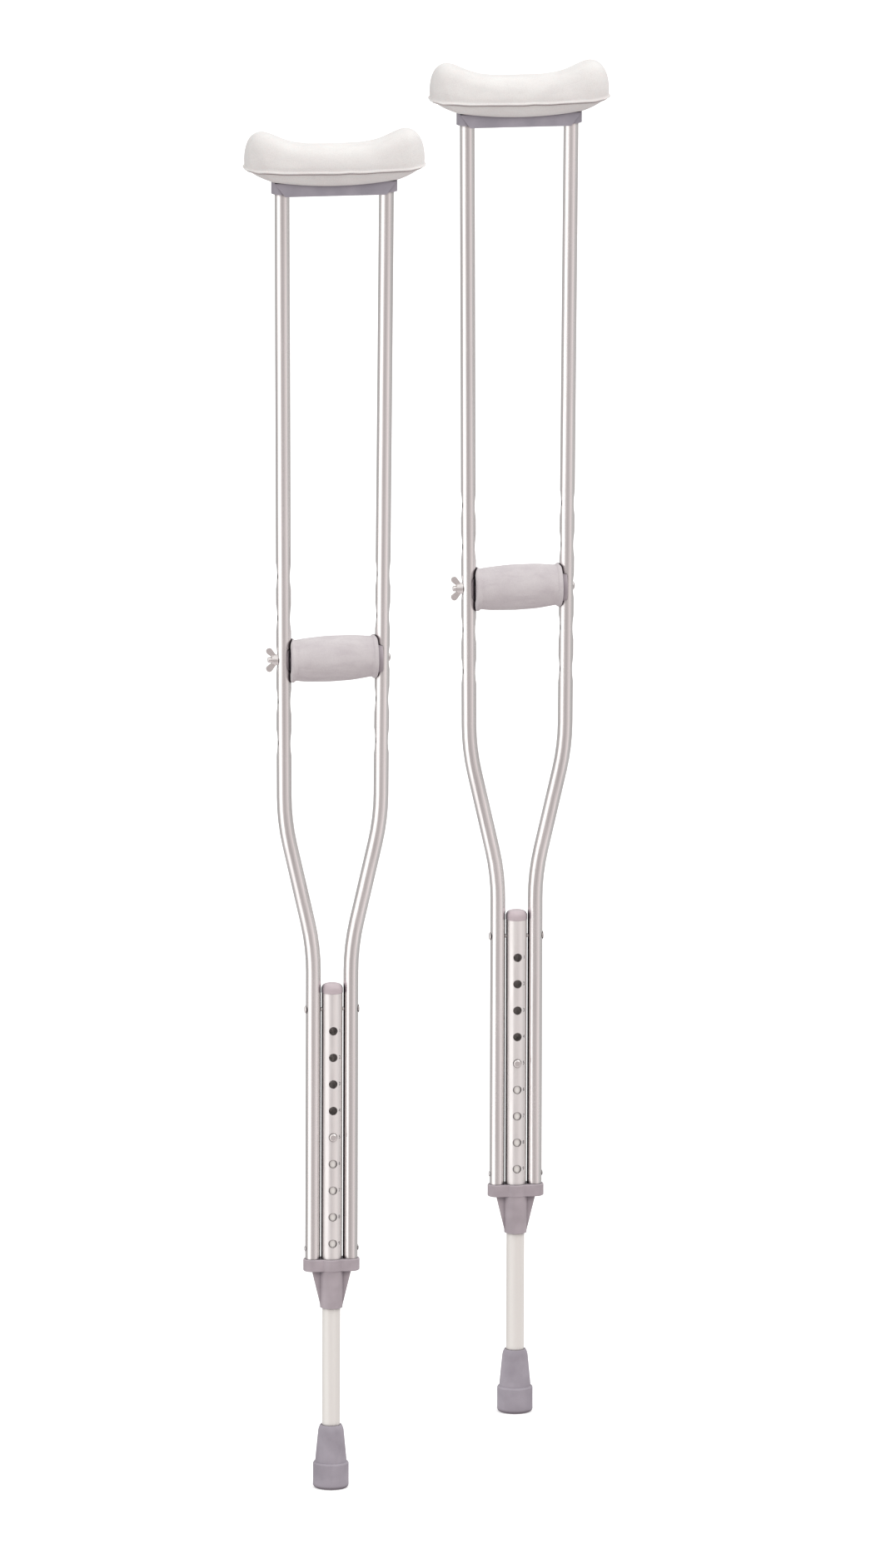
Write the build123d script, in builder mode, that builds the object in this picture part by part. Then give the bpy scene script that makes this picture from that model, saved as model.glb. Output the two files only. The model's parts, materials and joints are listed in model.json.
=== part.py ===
from build123d import *
from math import cos, radians, sin, tan
import os

# A pair of identical aluminium underarm crutches, in millimetres, +Z up.
# The origin is on the floor, midway between the two crutches. Each crutch faces -Y, with its
# uprights side by side along X. Every piece is modelled on a crutch that stands on the origin,
# and is then placed once for the front crutch and once for the rear one.

# ---------------------------------------------------------------- driving dimensions
# Where the crutches stand: half the step from the front crutch to the rear one.
PAIR_HALF_X = 121.5
PAIR_HALF_Y = 164.5

# Tube stock: 5/8, 7/8 and 3/4 inch.
UPRIGHT_RADIUS = 7.95
UPRIGHT_WALL = 1.2
CENTRE_RADIUS = 11.1
CENTRE_WALL = 1.5
LEG_RADIUS = 9.525
LEG_WALL = 1.5
FIT = 0.05  # radial clearance of pieces that slip into one another

# Uprights: straight beside the centre tube, an outward S-bend, then a straight with a slight lean.
FOOT_X = 20.0
BEND_BOTTOM = 559.0
BEND_RADIUS = 240.0
BEND_ANGLE = 12.9
SLOPE_LENGTH = 87.0
LEAN = 0.35
UPRIGHT_TOP = 1422.0

# Height settings.
LEG_HOLES = 9
LEG_PITCH = 28.8
BUTTON_Z = 381.3  # the fifth hole, where the button sits
GRIP_STOPS = 5
GRIP_PITCH = 45.0
GRIP_Z = 897.5  # the third stop, where the grip sits

# Levels, from the top down.
HORN_TOP = 1466.0
PAD_DIP = 1450.5
SEAM_Z = 1429.5
PAD_BOTTOM = 1409.5
CRADLE_TOP = 1425.0
PLATE_TOP = 1413.0
SOCKET_BOTTOM = 1400.5
PLATE_BOTTOM = 1398.5
CENTRE_TOP = 536.5
FRAME_BOLT_Z = 518.5
COLLAR_RIVET_Z = 259.5
COLLAR_TOP = 248.5
COLLAR_SEAT = 238.5
COLLAR_BOTTOM = 235.5
BOSS_BOTTOM = 195.5
TIP_TOP = 68.0
LEG_BOTTOM = 12.0

# Underarm pad and its cradle.
PAD_LENGTH = 191.0
PAD_DEPTH = 52.0
PAD_CORNER = 20.0
PAD_SHOULDER = 18.0  # how far the rounded top edges reach down and in
KEEL_SAG = 4.5  # the lower edge hangs this far lower in its middle than at its ends
HULL_BULGE = 60.0  # radius of the underside's long curve
CRADLE_LENGTH = 134.0
SOCKET_RADIUS = 11.0
PLATE_DEPTH = 26.0
PLATE_BOTTOM_WIDTH = 108.0
PLATE_TOP_WIDTH = 129.0
POCKET_GAP = 0.4
CRADLE_RIVET_Z = PLATE_TOP + 4.0

# Handgrip.
GRIP_HALF = 46.5
GRIP_RADIUS = 24.2
GRIP_NECK_RADIUS = 21.7
GRIP_FLANGE_RADIUS = 23.3
GRIP_RING_WIDTH = 5.0
CORE_RADIUS = 13.0
CORE_LEFT_REACH = 46.0
CORE_RIGHT_REACH = 51.5
SADDLE_RADIUS = 16.6
SADDLE_GAP = 0.8

# Dimples that pinch an upright at each grip stop.
DIMPLE_DEPTH = 1.8
DIMPLE_RADIUS = 60.0

# Fasteners.
BOLT_RADIUS = 3.0
BOLT_HOLE_RADIUS = 3.2
NECK_WIDTH = 6.2
NECK_LENGTH = 3.0
BOLT_END = 69.5
BOLT_HEAD_RADIUS = 4.7
BOLT_HEAD_HEIGHT = 2.6
BOLT_HEAD_RIM = 0.6  # the height of the head's straight rim, below its dome
HUB_RADIUS = 6.0
HUB_HEIGHT = 6.5
FRAME_BOLT_RADIUS = 2.0
BARREL_RADIUS = 3.0
BARREL_LENGTH = 11.0
FRAME_HEAD_RADIUS = 4.4
FRAME_HEAD_HEIGHT = 1.2
NUT_HEAD_HEIGHT = 0.7
RIVET_RADIUS = 1.9
RIVET_HEAD_RADIUS = 3.0
RIVET_HEAD_HEIGHT = 0.9
RIVET_LENGTH = 7.5

# Collar.
COLLAR_WALL = 2.0
BOSS_RADIUS = 12.6
GUSSET_THICKNESS = 6.0

# Height button.
BUTTON_RADIUS = 4.2
CENTRE_HOLE_RADIUS = 4.6
LEG_HOLE_RADIUS = 4.35
BUTTON_TOP = 13.6
BUTTON_ROUND = 1.8
LEAF_WIDTH = 8.0
LEAF_THICKNESS = 0.7
LEAF_Y = 6.4
LEAF_LENGTH = 42.0

# Tip.
TIP_RADIUS = 18.9
TIP_STEP_Z = 26.5  # where the broad foot steps in to the cone
TIP_SHOULDER_RADIUS = 13.6
TIP_SHOULDER_HEIGHT = 6.5  # how far the rounded shoulder reaches down from the top
SOLE_GROOVES = ((14.6, 12.8), (9.6, 7.8))
SOLE_DIMPLE = 4.4
SOLE_DEPTH = 1.8
WASHER_THICKNESS = 2.0

# ---------------------------------------------------------------- worked out from these
button_steps = [i - LEG_HOLES // 2 for i in range(LEG_HOLES)]
leg_hole_levels = [BUTTON_Z + step * LEG_PITCH for step in button_steps]
grip_stop_levels = [GRIP_Z + (i - GRIP_STOPS // 2) * GRIP_PITCH for i in range(GRIP_STOPS)]
leg_top = BUTTON_Z + LEG_PITCH / 2
seat_radius = UPRIGHT_RADIUS + FIT

bend_sag = BEND_RADIUS * (1 - cos(radians(BEND_ANGLE)))
lean_sag = BEND_RADIUS * (cos(radians(LEAN)) - cos(radians(BEND_ANGLE)))
bend_top_x = FOOT_X + bend_sag + SLOPE_LENGTH * sin(radians(BEND_ANGLE)) + lean_sag
bend_top_z = (
    BEND_BOTTOM
    + BEND_RADIUS * (2 * sin(radians(BEND_ANGLE)) - sin(radians(LEAN)))
    + SLOPE_LENGTH * cos(radians(BEND_ANGLE))
)


def upright_x(z):
    """Distance of an upright's centre line from the crutch's middle, above the bend."""
    return bend_top_x + (z - bend_top_z) * tan(radians(LEAN))


grip_upright_x = upright_x(GRIP_Z)
socket_x = upright_x(SOCKET_BOTTOM)


def clamp_x(radius):
    """Where a round face of that radius comes to bear on the bowed outer face of a grip stop."""
    pinched_face = grip_upright_x + UPRIGHT_RADIUS - DIMPLE_DEPTH
    return pinched_face + radius**2 / (2 * DIMPLE_RADIUS) + radius * tan(radians(LEAN)) + FIT


# ---------------------------------------------------------------- uprights
def upright_rod(side, radius, dimple_radius):
    """A solid rod along one upright's centre line, pinched from both sides at each grip stop."""
    with BuildLine(Plane.XZ) as path:
        foot = Line((side * FOOT_X, COLLAR_SEAT), (side * FOOT_X, BEND_BOTTOM))
        outward = JernArc(foot @ 1, foot % 1, BEND_RADIUS, -side * BEND_ANGLE)
        slope = Line(outward @ 1, outward @ 1 + (outward % 1) * SLOPE_LENGTH)
        inward = JernArc(slope @ 1, slope % 1, BEND_RADIUS, side * (BEND_ANGLE - LEAN))
        rest = (UPRIGHT_TOP - bend_top_z) / cos(radians(LEAN))
        Line(inward @ 1, inward @ 1 + (inward % 1) * rest)
    dimple_x = UPRIGHT_RADIUS - DIMPLE_DEPTH + DIMPLE_RADIUS
    dimples = [
        (side * upright_x(z) + flank * dimple_x, 0, z)
        for z in grip_stop_levels
        for flank in (-1, 1)
    ]
    with BuildPart() as rod:
        with BuildSketch(Plane(path.line @ 0, z_dir=path.line % 0)):
            Circle(radius)
        sweep(path=path.line)
        with Locations(*dimples):
            Cylinder(dimple_radius, 4 * radius, rotation=(90, 0, 0), mode=Mode.SUBTRACT)
    return rod.part


def make_upright(side):
    """One upright tube, with its bolt holes. The right one has a square hole for the bolt's neck."""
    outside = upright_rod(side, UPRIGHT_RADIUS, DIMPLE_RADIUS)
    bore = upright_rod(side, UPRIGHT_RADIUS - UPRIGHT_WALL, DIMPLE_RADIUS + UPRIGHT_WALL)
    across = 2 * UPRIGHT_RADIUS
    with BuildPart() as upright:
        add(outside)
        add(bore, mode=Mode.SUBTRACT)
        with Locations(*[(side * upright_x(z), 0, z) for z in grip_stop_levels]):
            Cylinder(BOLT_HOLE_RADIUS, across, rotation=(0, 90, 0), mode=Mode.SUBTRACT)
        if side > 0:
            with Locations(*[(upright_x(z) + UPRIGHT_RADIUS, 0, z) for z in grip_stop_levels]):
                neck_hole = NECK_WIDTH + 2 * FIT
                Box(UPRIGHT_RADIUS, neck_hole, neck_hole, mode=Mode.SUBTRACT)
        with Locations((side * FOOT_X, 0, FRAME_BOLT_Z)):
            Cylinder(FRAME_BOLT_RADIUS + FIT, across, rotation=(0, 90, 0), mode=Mode.SUBTRACT)
        if side > 0:
            with Locations((FOOT_X + UPRIGHT_RADIUS, 0, FRAME_BOLT_Z)):
                Cylinder(BARREL_RADIUS + FIT, UPRIGHT_RADIUS, rotation=(0, 90, 0), mode=Mode.SUBTRACT)
        with Locations((side * (FOOT_X + UPRIGHT_RADIUS), 0, COLLAR_RIVET_Z)):
            Cylinder(RIVET_RADIUS + FIT, UPRIGHT_RADIUS, rotation=(0, 90, 0), mode=Mode.SUBTRACT)
        with Locations((side * socket_x, 0, CRADLE_RIVET_Z)):
            Cylinder(RIVET_RADIUS + FIT, across, rotation=(90, 0, 0), mode=Mode.SUBTRACT)
    return upright.part


# ---------------------------------------------------------------- underarm pad and cradle
def make_pad():
    """The underarm cushion: a saddle with two horns, a boat-shaped underside and a cradle pocket."""
    half = PAD_LENGTH / 2
    belly = PAD_DEPTH / 2
    horn_x = half - PAD_SHOULDER
    shoulder_z = HORN_TOP - PAD_SHOULDER
    slope_x = 0.6 * horn_x
    slope_z = PAD_DIP + 5.0
    keel_x = CRADLE_LENGTH / 2
    keel_z = PAD_BOTTOM + KEEL_SAG
    keel_y = PLATE_DEPTH / 2 + 2.0
    gap = 2 * POCKET_GAP
    with BuildPart() as pad:
        with BuildSketch(Plane.XZ):
            with BuildLine():
                saddle = Spline(
                    (-horn_x, HORN_TOP),
                    (-slope_x, slope_z),
                    (0, PAD_DIP),
                    (slope_x, slope_z),
                    (horn_x, HORN_TOP),
                    tangents=((1, 0), (1, 0)),
                )
                right_end = RadiusArc(saddle @ 1, (half, shoulder_z), PAD_SHOULDER)
                right_side = Line(right_end @ 1, (half, SEAM_Z))
                right_hull = RadiusArc(right_side @ 1, (keel_x, keel_z), HULL_BULGE)
                keel = ThreePointArc(right_hull @ 1, (0, PAD_BOTTOM), (-keel_x, keel_z))
                left_hull = RadiusArc(keel @ 1, (-half, SEAM_Z), HULL_BULGE)
                left_side = Line(left_hull @ 1, (-half, shoulder_z))
                RadiusArc(left_side @ 1, saddle @ 0, PAD_SHOULDER)
            make_face()
        extrude(amount=belly, both=True)
        with BuildSketch(Plane.YZ):
            with BuildLine():
                crown = ThreePointArc((-belly, shoulder_z), (0, HORN_TOP), (belly, shoulder_z))
                front = Line(crown @ 1, (belly, SEAM_Z))
                front_hull = RadiusArc(front @ 1, (keel_y, PAD_BOTTOM), HULL_BULGE / 2)
                underside = Line(front_hull @ 1, (-keel_y, PAD_BOTTOM))
                back_hull = RadiusArc(underside @ 1, (-belly, SEAM_Z), HULL_BULGE / 2)
                Line(back_hull @ 1, crown @ 0)
            make_face()
        extrude(amount=half, both=True, mode=Mode.INTERSECT)
        with BuildSketch(Plane.XY.offset(PAD_BOTTOM)):
            RectangleRounded(PAD_LENGTH, PAD_DEPTH, PAD_CORNER)
        extrude(amount=HORN_TOP - PAD_BOTTOM, mode=Mode.INTERSECT)
        with BuildSketch(Plane.XY.offset(PAD_BOTTOM)):
            Rectangle(CRADLE_LENGTH + gap, PLATE_DEPTH + gap)
        extrude(amount=CRADLE_TOP + POCKET_GAP - PAD_BOTTOM, mode=Mode.SUBTRACT)
    return pad.part


def make_cradle():
    """The plastic crosspiece: two sockets for the uprights, a bar, and a sloped plate on each face."""
    with BuildPart() as cradle:
        with BuildSketch(Plane.XY.offset(SOCKET_BOTTOM)):
            SlotOverall(CRADLE_LENGTH, 2 * SOCKET_RADIUS)
        extrude(amount=CRADLE_TOP - SOCKET_BOTTOM)
        with BuildSketch(Plane.XZ):
            with BuildLine():
                Polyline(
                    (-PLATE_BOTTOM_WIDTH / 2, PLATE_BOTTOM),
                    (PLATE_BOTTOM_WIDTH / 2, PLATE_BOTTOM),
                    (PLATE_TOP_WIDTH / 2, PLATE_TOP),
                    (-PLATE_TOP_WIDTH / 2, PLATE_TOP),
                    close=True,
                )
            make_face()
        extrude(amount=PLATE_DEPTH / 2, both=True)
        # the plates hang a little below the bar and the sockets between them
        with BuildSketch(Plane.XY.offset(PLATE_BOTTOM)):
            Rectangle(CRADLE_LENGTH, 2 * SOCKET_RADIUS)
        extrude(amount=SOCKET_BOTTOM - PLATE_BOTTOM, mode=Mode.SUBTRACT)
        for side in (-1, 1):
            axis_plane = Plane((side * socket_x, 0, PLATE_BOTTOM), z_dir=(side * tan(radians(LEAN)), 0, 1))
            with BuildSketch(axis_plane):
                Circle(seat_radius)
            extrude(amount=UPRIGHT_TOP + POCKET_GAP - PLATE_BOTTOM, mode=Mode.SUBTRACT)
        with Locations((-socket_x, 0, CRADLE_RIVET_Z), (socket_x, 0, CRADLE_RIVET_Z)):
            Cylinder(RIVET_RADIUS + FIT, PLATE_DEPTH, rotation=(90, 0, 0), mode=Mode.SUBTRACT)
    return cradle.part


def make_cradle_rivets():
    """Two rivets that pin the uprights in the cradle, hidden inside the pad's pocket."""
    reach = SOCKET_RADIUS + FIT + RIVET_HEAD_HEIGHT
    head_middle = reach - RIVET_HEAD_HEIGHT / 2
    with BuildPart() as rivets:
        with Locations((-socket_x, 0, CRADLE_RIVET_Z), (socket_x, 0, CRADLE_RIVET_Z)):
            Cylinder(RIVET_RADIUS, 2 * reach, rotation=(90, 0, 0))
            with Locations((0, -head_middle, 0), (0, head_middle, 0)):
                Cylinder(RIVET_HEAD_RADIUS, RIVET_HEAD_HEIGHT, rotation=(90, 0, 0))
    return rivets.part


# ---------------------------------------------------------------- handgrip
def make_grip_foam():
    """The soft sleeve: a barrel that necks in beside a raised ring at each end, notched for the uprights."""
    ring = GRIP_HALF - GRIP_RING_WIDTH
    neck = ring - 3.0
    notch_radius = UPRIGHT_RADIUS + SADDLE_GAP + 0.2
    with BuildPart() as foam:
        with BuildSketch(Plane.XZ):
            with BuildLine():
                bore = Line((GRIP_HALF, CORE_RADIUS + FIT), (-GRIP_HALF, CORE_RADIUS + FIT))
                left_ring = Polyline(
                    bore @ 1,
                    (-GRIP_HALF, GRIP_FLANGE_RADIUS),
                    (-ring, GRIP_FLANGE_RADIUS),
                    (-neck, GRIP_NECK_RADIUS),
                )
                barrel = ThreePointArc(left_ring @ 1, (0, GRIP_RADIUS), (neck, GRIP_NECK_RADIUS))
                Polyline(
                    barrel @ 1,
                    (ring, GRIP_FLANGE_RADIUS),
                    (GRIP_HALF, GRIP_FLANGE_RADIUS),
                    bore @ 0,
                )
            make_face()
        revolve(axis=Axis.X)
        with Locations((-grip_upright_x, 0, 0), (grip_upright_x, 0, 0)):
            Cylinder(notch_radius, 3 * GRIP_RADIUS, mode=Mode.SUBTRACT)
    return foam.part.moved(Location((0, 0, GRIP_Z)))


def make_grip_core():
    """The rigid core, with a saddle on the right that hugs its upright, and a bore for the bolt."""
    saddle_base = GRIP_HALF + FIT
    with BuildPart() as core:
        with BuildSketch(Plane.YZ.offset(-CORE_LEFT_REACH)):
            Circle(CORE_RADIUS)
        extrude(amount=CORE_LEFT_REACH + saddle_base)
        with BuildSketch(Plane.YZ.offset(saddle_base)):
            Circle(SADDLE_RADIUS)
        extrude(amount=CORE_RIGHT_REACH - saddle_base)
        with Locations((-grip_upright_x, 0, 0), (grip_upright_x, 0, 0)):
            Cylinder(UPRIGHT_RADIUS + SADDLE_GAP, 3 * SADDLE_RADIUS, mode=Mode.SUBTRACT)
        Cylinder(BOLT_HOLE_RADIUS, 3 * CORE_RIGHT_REACH, rotation=(0, 90, 0), mode=Mode.SUBTRACT)
    return core.part.moved(Location((0, 0, GRIP_Z)))


def make_grip_bolt():
    """A carriage bolt: domed head and square neck on the right, thread end on the left."""
    head_base = clamp_x(BOLT_HEAD_RADIUS)
    head_rim = head_base + BOLT_HEAD_RIM
    dome = BOLT_HEAD_HEIGHT - BOLT_HEAD_RIM
    dome_radius = (dome**2 + BOLT_HEAD_RADIUS**2) / (2 * dome)
    with BuildPart() as bolt:
        with BuildSketch(Plane.XZ):
            with BuildLine():
                axis_line = Line((head_base, 0), (head_rim + dome, 0))
                crown = RadiusArc(axis_line @ 1, (head_rim, BOLT_HEAD_RADIUS), -dome_radius)
                rim = Line(crown @ 1, (head_base, BOLT_HEAD_RADIUS))
                Line(rim @ 1, axis_line @ 0)
            make_face()
        revolve(axis=Axis.X)
        with BuildSketch(Plane.YZ.offset(head_base)):
            Rectangle(NECK_WIDTH, NECK_WIDTH)
        extrude(amount=-NECK_LENGTH)
        with BuildSketch(Plane.YZ.offset(head_base)):
            Circle(BOLT_RADIUS)
        extrude(amount=-head_base - BOLT_END)
        chamfer(bolt.faces().sort_by(Axis.X)[0].edges(), length=0.2 * BOLT_RADIUS)
    return bolt.part.moved(Location((0, 0, GRIP_Z)))


def make_wing_nut():
    """A wing nut against the left upright: a conical hub and two wings that lean outwards."""
    base = -clamp_x(HUB_RADIUS)
    root = (base - HUB_HEIGHT / 2, 0.6 * HUB_RADIUS)
    wing_end = (base - 8.8, 9.4)
    wing_thickness = 2.6
    with BuildPart() as nut:
        with BuildSketch(Plane.YZ.offset(base)):
            Circle(HUB_RADIUS)
        extrude(amount=-HUB_HEIGHT, taper=8)
        for side in (-1, 1):
            with BuildSketch(Plane.XZ):
                with Locations((root[0], side * root[1])):
                    Circle(2.2)
                with Locations((wing_end[0], side * wing_end[1])):
                    Circle(3.4)
                make_hull()
            extrude(amount=wing_thickness / 2, both=True)
        with Locations((base, 0, 0)):
            Cylinder(BOLT_RADIUS + FIT, 4 * HUB_HEIGHT, rotation=(0, 90, 0), mode=Mode.SUBTRACT)
    return nut.part.moved(Location((0, 0, GRIP_Z)))


# ---------------------------------------------------------------- centre tube and its fasteners
def make_centre_tube():
    """The outer telescope tube, with nine button holes down its front face."""
    with BuildPart() as tube:
        with BuildSketch(Plane.XY.offset(COLLAR_SEAT)):
            Circle(CENTRE_RADIUS)
            Circle(CENTRE_RADIUS - CENTRE_WALL, mode=Mode.SUBTRACT)
        extrude(amount=CENTRE_TOP - COLLAR_SEAT)
        with Locations(*[(0, -CENTRE_RADIUS, z) for z in leg_hole_levels]):
            Cylinder(CENTRE_HOLE_RADIUS, CENTRE_RADIUS, rotation=(90, 0, 0), mode=Mode.SUBTRACT)
        with Locations((0, 0, FRAME_BOLT_Z)):
            across = 3 * CENTRE_RADIUS
            Cylinder(FRAME_BOLT_RADIUS + FIT, across, rotation=(0, 90, 0), mode=Mode.SUBTRACT)
    return tube.part


def make_tube_cap():
    """A plug that closes the centre tube's top, with a rounded crown."""
    plug_length = 9.0
    crown_height = 9.5
    crown_round = 5.5
    plug_radius = CENTRE_RADIUS - CENTRE_WALL - FIT
    with BuildPart() as cap:
        with BuildSketch(Plane.XY.offset(CENTRE_TOP + FIT)):
            Circle(CENTRE_RADIUS + 0.3)
        extrude(amount=crown_height)
        fillet(cap.faces().sort_by(Axis.Z)[-1].edges(), radius=crown_round)
        with BuildSketch(Plane.XY.offset(CENTRE_TOP + FIT)):
            Circle(plug_radius)
        extrude(amount=-plug_length)
    return cap.part


def make_frame_bolt():
    """The bolt that clamps both uprights to the centre tube, above the leg's highest reach."""
    face = FOOT_X + UPRIGHT_RADIUS + FIT
    with BuildPart() as bolt:
        with BuildSketch(Plane.YZ.offset(-face)):
            Circle(FRAME_HEAD_RADIUS)
        extrude(amount=-FRAME_HEAD_HEIGHT, taper=40)
        with BuildSketch(Plane.YZ.offset(-face)):
            Circle(FRAME_BOLT_RADIUS)
        extrude(amount=2 * face - 2.0)
    return bolt.part.moved(Location((0, 0, FRAME_BOLT_Z)))


def make_frame_nut():
    """The barrel nut on the frame bolt: a low head outside the right upright, a sleeve inside it."""
    face = FOOT_X + UPRIGHT_RADIUS + FIT
    with BuildPart() as nut:
        with BuildSketch(Plane.YZ.offset(face)):
            Circle(FRAME_HEAD_RADIUS)
        extrude(amount=NUT_HEAD_HEIGHT, taper=40)
        with BuildSketch(Plane.YZ.offset(face)):
            Circle(BARREL_RADIUS)
        extrude(amount=-BARREL_LENGTH)
        with BuildSketch(Plane.YZ.offset(face - 1.0)):
            Circle(FRAME_BOLT_RADIUS + FIT)
        extrude(amount=-BARREL_LENGTH, mode=Mode.SUBTRACT)
    return nut.part.moved(Location((0, 0, FRAME_BOLT_Z)))


def make_collar():
    """The plastic yoke: it seats the three tubes, guides the leg, and plugs both uprights."""
    height = COLLAR_TOP - COLLAR_BOTTOM
    rim_radius = seat_radius + COLLAR_WALL
    spigot_radius = UPRIGHT_RADIUS - UPRIGHT_WALL - FIT
    spigot_height = 30.0
    gusset_top = FOOT_X + 1.0
    gusset_bottom = BOSS_RADIUS - 0.8
    with BuildPart() as collar:
        with BuildSketch(Plane.XY.offset(COLLAR_BOTTOM)):
            SlotCenterToCenter(2 * FOOT_X, 2 * rim_radius)
            Circle(BOSS_RADIUS + 0.8)
        extrude(amount=height)
        rims = collar.edges().filter_by(Plane.XY).group_by(Axis.Z)
        chamfer(rims[0] + rims[-1], length=0.8)
        with BuildSketch(Plane.XY.offset(BOSS_BOTTOM)):
            Circle(BOSS_RADIUS - 0.6)
        with BuildSketch(Plane.XY.offset(COLLAR_BOTTOM)):
            Circle(BOSS_RADIUS)
        loft()
        with BuildSketch(Plane.XZ):
            with BuildLine():
                Polyline(
                    (-gusset_top, COLLAR_BOTTOM + 1),
                    (gusset_top, COLLAR_BOTTOM + 1),
                    (gusset_bottom, BOSS_BOTTOM + 3),
                    (-gusset_bottom, BOSS_BOTTOM + 3),
                    close=True,
                )
            make_face()
        extrude(amount=GUSSET_THICKNESS / 2, both=True)
        with BuildSketch(Plane.XY.offset(BOSS_BOTTOM)):
            Circle(LEG_RADIUS + 1.5 * FIT)
        extrude(amount=COLLAR_TOP - BOSS_BOTTOM, mode=Mode.SUBTRACT)
        with BuildSketch(Plane.XY.offset(COLLAR_SEAT)):
            Circle(CENTRE_RADIUS + FIT)
            with Locations((-FOOT_X, 0), (FOOT_X, 0)):
                Circle(seat_radius)
        extrude(amount=height, mode=Mode.SUBTRACT)
        with BuildSketch(Plane.XY.offset(COLLAR_SEAT - 1)):
            with Locations((-FOOT_X, 0), (FOOT_X, 0)):
                Circle(spigot_radius)
        extrude(amount=spigot_height)
        for side in (-1, 1):
            with BuildSketch(Plane.YZ.offset(side * (FOOT_X + UPRIGHT_RADIUS))):
                with Locations((0, COLLAR_RIVET_Z)):
                    Circle(RIVET_RADIUS + FIT)
            extrude(amount=-side * (RIVET_LENGTH + 0.5), mode=Mode.SUBTRACT)
    return collar.part


def make_collar_rivets():
    """A blind rivet in each upright's outer wall, which holds the collar's spigot in the tube."""
    face = FOOT_X + UPRIGHT_RADIUS + FIT
    with BuildPart() as rivets:
        for side in (-1, 1):
            with BuildSketch(Plane.YZ.offset(side * face)):
                Circle(RIVET_HEAD_RADIUS)
            extrude(amount=side * RIVET_HEAD_HEIGHT, taper=40)
            with BuildSketch(Plane.YZ.offset(side * face)):
                Circle(RIVET_RADIUS)
            extrude(amount=-side * RIVET_LENGTH)
    return rivets.part.moved(Location((0, 0, COLLAR_RIVET_Z)))


# ---------------------------------------------------------------- telescoping leg
def make_leg_tube():
    """The inner telescope tube, with one button hole near its top."""
    with BuildPart() as tube:
        with BuildSketch(Plane.XY.offset(LEG_BOTTOM)):
            Circle(LEG_RADIUS)
            Circle(LEG_RADIUS - LEG_WALL, mode=Mode.SUBTRACT)
        extrude(amount=leg_top - LEG_BOTTOM)
        with Locations((0, -LEG_RADIUS, BUTTON_Z)):
            Cylinder(LEG_HOLE_RADIUS, LEG_RADIUS, rotation=(90, 0, 0), mode=Mode.SUBTRACT)
    return tube.part


def make_snap_button():
    """The domed button that locks the leg in one of the nine holes."""
    back = LEAF_Y + LEAF_THICKNESS / 2 + FIT
    with BuildPart() as button:
        with BuildSketch(Plane.XZ.offset(back)):
            Circle(BUTTON_RADIUS)
        extrude(amount=BUTTON_TOP - back)
        fillet(button.faces().sort_by(Axis.Y)[0].edges(), radius=BUTTON_ROUND)
    return button.part.moved(Location((0, 0, BUTTON_Z)))


def make_snap_spring():
    """The hairpin leaf spring inside the leg, which pushes the button out."""
    loop_z = BUTTON_Z - LEAF_LENGTH
    with BuildPart() as spring:
        with BuildSketch(Plane.YZ):
            with BuildLine():
                front = Line((-LEAF_Y, BUTTON_Z + 5), (-LEAF_Y, loop_z))
                loop = ThreePointArc(front @ 1, (0, loop_z - LEAF_Y), (LEAF_Y, loop_z))
                Line(loop @ 1, (LEAF_Y, BUTTON_Z - 8))
            trace(line_width=LEAF_THICKNESS)
        extrude(amount=LEAF_WIDTH / 2, both=True)
    return spring.part


def make_tip():
    """The rubber ferrule: a round-shouldered cone on a broad foot, with ring grooves in its sole."""
    bore = LEG_RADIUS + FIT
    bore_floor = LEG_BOTTOM - WASHER_THICKNESS - FIT
    top_radius = bore + 1.8
    with BuildPart() as tip:
        with BuildSketch(Plane.XZ):
            with BuildLine():
                sole = Line((0, 0), (TIP_RADIUS - 3, 0))
                heel = TangentArc(sole @ 1, (TIP_RADIUS, 4.5), tangent=(1, 0.25))
                cone = Polyline(
                    heel @ 1,
                    (TIP_RADIUS, TIP_STEP_Z),
                    (TIP_RADIUS - 0.8, TIP_STEP_Z + 1.2),
                    (TIP_RADIUS - 2.1, TIP_STEP_Z + 1.8),
                    (TIP_SHOULDER_RADIUS, TIP_TOP - TIP_SHOULDER_HEIGHT),
                )
                shoulder = TangentArc(cone @ 1, (top_radius, TIP_TOP), tangent=(-0.12, 1))
                inside = Polyline(
                    shoulder @ 1,
                    (bore, TIP_TOP),
                    (bore, bore_floor),
                    (0, bore_floor),
                )
                Line(inside @ 1, sole @ 0)
            make_face()
        revolve(axis=Axis.Z)
        with BuildSketch():
            for outer, inner in SOLE_GROOVES:
                Circle(outer)
                Circle(inner, mode=Mode.SUBTRACT)
            Circle(SOLE_DIMPLE)
        extrude(amount=SOLE_DEPTH, mode=Mode.SUBTRACT)
    return tip.part


def make_tip_washer():
    """The steel disc in the tip that keeps the tube's end from cutting through the rubber."""
    with BuildPart() as washer:
        with BuildSketch(Plane.XY.offset(LEG_BOTTOM - WASHER_THICKNESS)):
            Circle(LEG_RADIUS - 0.2)
        extrude(amount=WASHER_THICKNESS - FIT)
    return washer.part


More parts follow.
